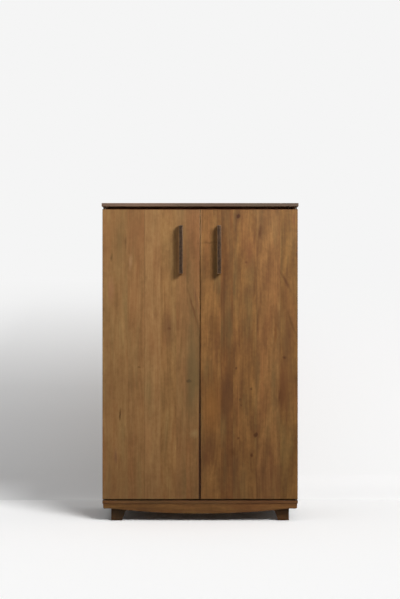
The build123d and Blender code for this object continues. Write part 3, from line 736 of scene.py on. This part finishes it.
# boards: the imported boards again, with their long edges eased by sandpaper
easedBoards = {
    0.0009: [
        "top_slab", "left_door", "right_door", "base_board", "front_apron", "loose_shelf", "fixed_shelf",
    ],
    0.0007: [
        "left_side", "right_side", "left_apron", "right_apron", "rear_apron", "grid_level",
        *[f"grid_divider_{i}" for i in (1, 2, 3, 4)],
        *[f"{end}_{side}_foot" for end in ("front", "rear") for side in ("left", "right")],
        *[f"{side}_rack_tray" for side in ("left", "right")],
    ],
}
boardShape = {
    # an edge is eased where it is longer than 5 mm and its faces turn by more than 40 degrees
    "shortest": 0.005, "sharp": 40, "segments": 2,
    # faces within half a degree of each other are one flat face
    "flat": 0.5, "smoothUpTo": 8,
}

for width, names in easedBoards.items():
    for node in names:
        mesh = bmesh.new()
        mesh.from_mesh(nodes[node].data)
        mesh.transform(nodes[node].matrix_world)
        bmesh.ops.remove_doubles(mesh, verts=mesh.verts, dist=tiny)
        bmesh.ops.dissolve_limit(
            mesh, angle_limit=radians(boardShape["flat"]), use_dissolve_boundaries=False,
            verts=mesh.verts, edges=mesh.edges,
        )
        arrises = [
            e for e in mesh.edges
            if len(e.link_faces) == 2 and e.calc_face_angle_signed(0) > radians(boardShape["sharp"])
            and e.calc_length() > boardShape["shortest"]
        ]
        bmesh.ops.bevel(
            mesh, geom=arrises, offset=width, offset_type="OFFSET", affect="EDGES",
            segments=boardShape["segments"], profile=0.5, material=-1, clamp_overlap=True,
        )
        finishPiece(f"{node}_eased", mesh, node, smoothUpTo=boardShape["smoothUpTo"])
print("boards eased")


# pulls: flat bars bent to a foot at each end, all edges eased
pullShape = {
    "bar": 0.015, "leg": 0.010, "cornerRound": 0.0032, "innerRound": 0.0022, "edgeRound": 0.0019,
    "cornerSteps": 5, "edgeSteps": 4,
    # edges that lie across the bar are longer than this, and its long edges turn by more than this
    "across": 0.005, "sharp": 1.2,
}

for side in ("left", "right"):
    low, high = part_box(f"{side}_pull")
    bar, leg = pullShape["bar"], pullShape["leg"]
    mesh = bmesh.new()
    outline = [
        (high.y, low.z), (low.y, low.z), (low.y, high.z), (high.y, high.z),
        (high.y, high.z - leg), (low.y + bar, high.z - leg),
        (low.y + bar, low.z + leg), (high.y, low.z + leg),
    ]
    profile = mesh.faces.new([mesh.verts.new((low.x, y, z)) for y, z in outline])
    grown = bmesh.ops.extrude_face_region(mesh, geom=[profile])
    moved = [v for v in grown["geom"] if isinstance(v, bmesh.types.BMVert)]
    bmesh.ops.translate(mesh, verts=moved, vec=(high.x - low.x, 0, 0))
    bmesh.ops.recalc_face_normals(mesh, faces=mesh.faces)
    for depth, width in ((low.y, pullShape["cornerRound"]), (low.y + bar, pullShape["innerRound"])):
        turned = [
            e for e in mesh.edges
            if abs(e.verts[0].co.x - e.verts[1].co.x) > pullShape["across"]
            and all(abs(v.co.y - depth) < nearly for v in e.verts)
        ]
        bmesh.ops.bevel(
            mesh, geom=turned, offset=width, offset_type="OFFSET", affect="EDGES",
            segments=pullShape["cornerSteps"], profile=0.5, material=-1,
        )
    long = [
        e for e in mesh.edges
        if abs(e.verts[0].co.x - e.verts[1].co.x) < tiny
        and any(v.co.y < high.y - nearly for v in e.verts)
        and len(e.link_faces) == 2
        and abs(e.calc_face_angle(0)) > pullShape["sharp"]
    ]
    bmesh.ops.bevel(
        mesh, geom=long, offset=pullShape["edgeRound"], offset_type="OFFSET", affect="EDGES",
        segments=pullShape["edgeSteps"], profile=0.5, material=-1,
    )
    # the finish is rubbed through, and a highlight is painted, most where the metal turns halfway from one
    # face to the next
    mesh.normal_update()
    wearAndSheen = mesh.verts.layers.float.new("wearAndSheen")
    for vert in mesh.verts:
        vert[wearAndSheen] = min(1.0, 2 * (1 - max(n * n for n in vert.normal)))
    finishPiece(f"{side}_pull_cast", mesh, f"{side}_pull")
print("pulls made")


# Screws, bumpers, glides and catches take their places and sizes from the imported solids.
turnedSteps = 24   # sides of a turned shape


def solidsOf(node):
    # the points of each separate solid of a CAD node
    mesh = bmesh.new()
    mesh.from_mesh(nodes[node].data)
    mesh.transform(nodes[node].matrix_world)
    bmesh.ops.remove_doubles(mesh, verts=mesh.verts, dist=tiny)
    left, found = set(mesh.verts), []
    while left:
        grown, edgeOn = set(), [left.pop()]
        while edgeOn:
            vert = edgeOn.pop()
            grown.add(vert)
            near = {edge.other_vert(vert) for edge in vert.link_edges} & left
            left -= near
            edgeOn += near
        found.append([v.co.copy() for v in grown])
    mesh.free()
    return sorted(found, key=lambda points: tuple(min(points, key=lambda p: tuple(p))))


def boxOf(points):
    return [Vector(fit(p[i] for p in points) for i in range(3)) for fit in (min, max)]


def latheInto(mesh, rings, start, heading):
    # turned shape from rings of (depth, radius), the radius a number or one that follows the angle
    turn = Vector(heading).to_track_quat("Z", "Y").to_matrix().to_4x4()
    place = Matrix.Translation(start) @ turn
    loops = []
    for depth, radius in rings:
        loop = []
        for step in range(turnedSteps):
            angle = radians(360 / turnedSteps * step)
            reach = radius(angle) if callable(radius) else radius
            loop.append(mesh.verts.new(place @ Vector((reach * cos(angle), reach * sin(angle), depth))))
        loops.append(loop)
    for near, far in zip(loops, loops[1:]):
        for i in range(turnedSteps):
            j = (i + 1) % turnedSteps
            mesh.faces.new((near[i], near[j], far[j], far[i]))
    mesh.faces.new(loops[0][::-1])
    mesh.faces.new(loops[-1])


# Shares of the head: a cross recess with two arms, and outlines as depth and radius. The tip is a
# share of the shank.
screwShape = {
    "recessArm": 0.62, "recessHalf": 0.16, "recessDepth": 0.55, "recessTaper": 0.8, "tip": 0.45,
    "domed": [(0, 0.66), (0.12, 0.84), (0.4, 0.97), (0.7, 1), (1, 1)], "flat": [(0, 0.92), (0.12, 1)],
    # the head ends where the points come within this of the shank's radius
    "shankPlay": 1.02,
}


def screwInto(mesh, points, outline):
    low, high = boxOf(points)
    lengths = high - low
    run = max(range(3), key=lambda i: lengths[i])
    middle = (low + high) / 2

    def reach(p):
        away = p - middle
        away[run] = 0
        return away.length

    spread = {}
    for end in (low, high):
        spread[end[run]] = max(reach(p) for p in points if abs(p[run] - end[run]) < nearly)
    head, tip = sorted(spread, key=spread.get, reverse=True)
    headRadius, shank = spread[head], spread[tip]
    sign = 1 if tip > head else -1
    shankEdge = shank * screwShape["shankPlay"]
    headDeep = min(abs(p[run] - head) for p in points if reach(p) < shankEdge)
    heading = [0, 0, 0]
    heading[run] = sign
    start = middle.copy()
    start[run] = head
    arm, half = (headRadius * screwShape[key] for key in ("recessArm", "recessHalf"))

    def recess(angle):
        c, s = abs(cos(angle)) + tiny, abs(sin(angle)) + tiny
        return max(min(arm / c, half / s), min(half / c, arm / s))

    def inner(angle):
        return recess(angle) * screwShape["recessTaper"]

    length = abs(tip - head)
    rings = [(headDeep * screwShape["recessDepth"], inner), (0, recess)]
    rings += [(headDeep * deep, headRadius * wide) for deep, wide in screwShape[outline]]
    rings += [(headDeep, shank), (length - shank, shank), (length, shank * screwShape["tip"])]
    latheInto(mesh, rings, start, heading)


for node in sorted(nodes):
    if node.endswith("screws"):
        mesh = bmesh.new()
        for points in solidsOf(node):
            screwInto(mesh, points, "domed" if "pull" in node else "flat")
        finishPiece(f"{node}_recessed", mesh, node)

# shares of the height and of the radius, from the tip of the dome to its foot
bumperShape = [(0, 0.3), (0.06, 0.5), (0.22, 0.74), (0.5, 0.92), (0.8, 1), (1, 1)]

for node in ("left_bumpers", "right_bumpers"):
    mesh = bmesh.new()
    for points in solidsOf(node):
        low, high = boxOf(points)
        radius, tall = (high.x - low.x) / 2, high.y - low.y
        dome = [(tall * deep, radius * wide) for deep, wide in bumperShape]
        start = (low + high) / 2
        start.y = high.y
        latheInto(mesh, dome, start, (0, -1, 0))
    finishPiece(f"{node}_domed", mesh, node)

# the round of the disc's edge, the share of it where its middle ring lies, and the nail's tip
glideShape = {"edgeRound": 0.0008, "middle": 0.3, "tip": 0.5}

mesh = bmesh.new()
for points in solidsOf("foot_glides"):
    low, high = boxOf(points)
    radius, middle = (high.x - low.x) / 2, (low + high) / 2
    nailRadius = max((p - middle).xy.length for p in points if p.z > high.z - nearly)
    discTop = max(p.z for p in points if abs(p.x - low.x) < nearly)
    eased = glideShape["edgeRound"]
    halfEased = eased * glideShape["middle"]
    rings = [
        (0, radius - eased), (halfEased, radius - halfEased), (eased, radius), (discTop, radius),
        (discTop, nailRadius), (high.z, nailRadius * glideShape["tip"]),
    ]
    latheInto(mesh, rings, (middle.x, middle.y, 0), (0, 0, 1))
finishPiece("foot_glides_turned", mesh, "foot_glides")


# A moulded body between two ears, with a pair of steel poles that stand proud of it. The poles
# lie this share of its width from its middle.
catchShape = {
    "bodyRound": 0.0008, "earRound": 0.00072, "poleRound": 0.0003, "roundSteps": 3, "poleProud": 0.0008,
    "poleWide": 0.0026, "poleHigh": 0.010, "poleDeep": 0.006, "poleApart": 0.24,
}


def boxInto(mesh, low, high, eased):
    made = bmesh.ops.create_cube(mesh, size=1.0)["verts"]
    size = Vector(high) - Vector(low)
    bmesh.ops.scale(mesh, verts=made, vec=size)
    bmesh.ops.translate(mesh, verts=made, vec=(Vector(high) + Vector(low)) / 2)
    rims = {edge for vert in made for edge in vert.link_edges}
    bmesh.ops.bevel(
        mesh, geom=list(rims), offset=eased, offset_type="OFFSET", affect="EDGES",
        segments=catchShape["roundSteps"], profile=0.5, material=-1,
    )


mesh, poles = bmesh.new(), bmesh.new()
for points in solidsOf("magnetic_catches"):
    low, high = boxOf(points)
    body = [p.x for p in points if p.z < low.z + nearly]
    sideEdge = [p for p in points if abs(p.x - low.x) < nearly]
    earFoot = max(p.z for p in sideEdge if p.z < high.z - nearly)
    face = low.y + catchShape["poleProud"]
    boxInto(mesh, (min(body), face, low.z), (max(body), high.y, high.z), catchShape["bodyRound"])
    boxInto(mesh, (low.x, face, earFoot), (high.x, high.y, high.z), catchShape["earRound"])
    apart = (max(body) - min(body)) * catchShape["poleApart"]
    half, tall, deep = catchShape["poleWide"] / 2, catchShape["poleHigh"] / 2, catchShape["poleDeep"]
    z = (low.z + high.z) / 2
    for side in (-1, 1):
        x = (min(body) + max(body)) / 2 + side * apart
        nearCorner, farCorner = (x - half, low.y, z - tall), (x + half, low.y + deep, z + tall)
        boxInto(poles, nearCorner, farCorner, catchShape["poleRound"])
finishPiece("magnetic_catches_moulded", mesh, "magnetic_catches")
polePiece = finishPiece("catch_poles", poles, "magnetic_catches", replaced=False)
polePiece.data.materials[0] = materials["screw_steel"]
print("hardware made")


# studio: a pale floor, and a wall that meets it in a cove close behind the cabinet
studio = {
    "wallGap": 0.30, "cove": 0.10, "coveSteps": 24, "footLevel": -0.006, "paintedCoveShade": 0.24, "reach": 9.0,
    "white": "#fdfdfd", "seen": "#f5f5f5", "worldLight": 0.30, "lowLight": 0.05, "horizon": 0.12,
    # how far the shade on the wall is washed out: height in metres and share
    "wallGlow": [
        (0.0, 0.13), (0.08, 0.16), (0.19, 0.215), (0.30, 0.28), (0.41, 0.38),
        (0.52, 0.55), (0.63, 0.74), (0.74, 0.92), (0.82, 1.0),
    ],
    "floorGlow": [(0.0, 0.0)],
    # more of it is washed out low down where the wall runs off to the left, in metres
    "cornerGlow": {"share": 0.32, "across": (-0.60, -0.75), "level": (0.075, 0.0)},
}

stageSet = bpy.data.collections.new("stageSet")
scene.collection.children.link(stageSet)


def stagePiece(name, mesh, glow, corner=None):
    # matt white paint, clear from behind; the glow hides the seams of the set
    paint, tree = newMaterial(f"{name}Paint")
    plainWhite = addNode(tree, "ShaderNodeEmission", {0: linearColour(studio["seen"])})
    where = addNode(tree, "ShaderNodeTexCoord")
    across, _, level = addNode(tree, "ShaderNodeSeparateXYZ", {0: where.outputs["Object"]}).outputs
    ramp = addNode(tree, "ShaderNodeValToRGB", {0: level})
    setStops(ramp, [(height, (share, share, share, 1)) for height, share in glow])
    fade = ramp.outputs[0]
    if corner:
        far, near = corner["across"], corner["level"]
        left = addNode(
            tree, "ShaderNodeMapRange", {0: across, 1: far[0], 2: far[1], 4: corner["share"]}
        ).outputs[0]
        low = addNode(tree, "ShaderNodeMapRange", {0: level, 1: near[0], 2: near[1]}).outputs[0]
        fade = addNode(
            tree, "ShaderNodeMath", {0: left, 1: low, 2: fade}, operation="MULTIPLY_ADD"
        ).outputs[0]
    # The cove leans into the light, so painted shade greys its paint against the extra light it catches,
    # most of all halfway
    # up: by the sine times the cosine of the lean, which come from the upright part of the normal.
    lean = addNode(tree, "ShaderNodeSeparateXYZ", {0: where.outputs["Normal"]}).outputs[2]
    lean = addNode(tree, "ShaderNodeMath", {0: lean, 1: 2.0}, operation="POWER").outputs[0]
    rest = addNode(tree, "ShaderNodeMath", {0: 1.0, 1: lean}, operation="SUBTRACT").outputs[0]
    lean = addNode(tree, "ShaderNodeMath", {0: lean, 1: rest}, operation="MULTIPLY").outputs[0]
    lean = addNode(tree, "ShaderNodeMath", {0: lean, 1: 0.5}, operation="POWER").outputs[0]
    lean = addNode(
        tree, "ShaderNodeMath", {0: lean, 1: 2 * studio["paintedCoveShade"]}, operation="MULTIPLY"
    ).outputs[0]
    white = addNode(
        tree, "ShaderNodeMix", {0: lean, 6: linearColour(studio["white"]), 7: (0, 0, 0, 1)},
        data_type="RGBA",
    ).outputs[2]
    sheet = addNode(tree, "ShaderNodeBsdfDiffuse", {0: white})
    sheet = addNode(
        tree, "ShaderNodeMixShader", {0: fade, 1: sheet.outputs[0], 2: plainWhite.outputs[0]}
    ).outputs[0]
    clear = addNode(tree, "ShaderNodeBsdfTransparent")
    behind = addNode(tree, "ShaderNodeNewGeometry").outputs["Backfacing"]
    sheet = addNode(tree, "ShaderNodeMixShader", {0: behind, 1: sheet, 2: clear.outputs[0]})
    addNode(tree, "ShaderNodeOutputMaterial", {0: sheet.outputs[0]})
    data = bpy.data.meshes.new(name)
    mesh.to_mesh(data)
    mesh.free()
    data.materials.append(paint)
    piece = bpy.data.objects.new(name, data)
    stageSet.objects.link(piece)
    return piece


mesh = bmesh.new()
bmesh.ops.create_grid(mesh, x_segments=1, y_segments=1, size=studio["reach"])
floor = stagePiece("floor", mesh, studio["floorGlow"])
floor.visible_diffuse = False

mesh = bmesh.new()
reach, cove = studio["reach"], studio["cove"]
wallPlace = cadBox[1].y + studio["wallGap"]
foot = [mesh.verts.new((x, wallPlace - cove, studio["footLevel"])) for x in (-reach, reach)]
edge = mesh.edges.new(foot)
turned = bmesh.ops.spin(
    mesh, geom=[edge], cent=(0, wallPlace - cove, cove + studio["footLevel"]), axis=(1, 0, 0),
    angle=radians(90), steps=studio["coveSteps"],
)["geom_last"]
raised = bmesh.ops.extrude_edge_only(mesh, edges=[e for e in turned if isinstance(e, bmesh.types.BMEdge)])
bmesh.ops.translate(
    mesh, verts=[v for v in raised["geom"] if isinstance(v, bmesh.types.BMVert)], vec=(0, 0, reach)
)
lookingDown = -0.01
for face in mesh.faces:
    # every face of the wall looks forwards or up
    face.normal_update()
    face.smooth = True
    if face.normal.y > 0 or face.normal.z < lookingDown:
        face.normal_flip()
wall = stagePiece("wall", mesh, studio["wallGlow"], studio["cornerGlow"])
wall.visible_shadow = False
wall.visible_diffuse = False
wall.visible_glossy = False

# Kind, strength, size in metres (degrees for the suns), place, the point it looks at and what
# it lights. The floor and the wall have suns of their own, and the soft boxes leave both alone.
lamps = {
    "keyBox": ("AREA", 29.0, 0.5, (0.90, -1.50, 1.68), (0, -0.18, 1.0), None),
    "fillBox": ("AREA", 24.5, 2.0, (-1.9, -2.6, 2.3), (0, -0.18, 0.8), None),
    "backBox": ("AREA", 34.0, 1.4, (1.1, 2.9, 2.0), (0, 0.2, 0.6), None),
    "floorSun": ("SUN", 2.78, 26.0, (0.93, -1.5, 1.3), (0, 0, 0), floor),
    "wallSun": ("SUN", 3.45, 26.0, (1.6, -1.5, 1.2), (0, 0, 0), wall),
    "floorSky": ("SUN", 0.64, 140.0, (0.7, -1.0, 0.9), (0, 0, 0), floor),
    "wallSky": ("SUN", 0.62, 150.0, (0.5, -1.0, 0.9), (0, 0, 0), wall),
}
for name, (kind, power, size, place, aim, target) in lamps.items():
    light = bpy.data.lights.new(name, kind)
    light.energy = power
    if kind == "SUN":
        light.angle = radians(size)
    else:
        light.size = size
    lamp = bpy.data.objects.new(name, light)
    scene.collection.objects.link(lamp)
    lamp.location = place
    lamp.rotation_euler = (Vector(aim) - Vector(place)).to_track_quat("-Z", "Y").to_euler()
    lit = bpy.data.collections.new(f"{name}Lights")
    lamp.light_linking.receiver_collection = lit
    if target:
        lit.objects.link(target)
    else:
        lit.children.link(stageSet)
        lit.collection_children[0].light_linking.link_state = "EXCLUDE"

world = bpy.data.worlds.new("paleStudio")
scene.world = world
world.use_nodes = True
world.node_tree.nodes.clear()
seen = addNode(world.node_tree, "ShaderNodeLightPath").outputs["Is Camera Ray"]
# the room sheds most of its light from above the horizon
level = addNode(world.node_tree, "ShaderNodeTexCoord").outputs["Generated"]
level = addNode(world.node_tree, "ShaderNodeSeparateXYZ", {0: level}).outputs[2]
room = addNode(
    world.node_tree,
    "ShaderNodeMapRange",
    {
        0: level, 1: -studio["horizon"], 2: studio["horizon"],
        3: studio["lowLight"], 4: studio["worldLight"],
    },
).outputs[0]
glow = addNode(
    world.node_tree, "ShaderNodeMix", {0: seen, 6: room, 7: linearColour(studio["seen"])},
    data_type="RGBA",
).outputs[2]
glow = addNode(world.node_tree, "ShaderNodeBackground", {0: glow, 1: 1.0})
addNode(world.node_tree, "ShaderNodeOutputWorld", {0: glow.outputs[0]})
print("studio and lamps set")
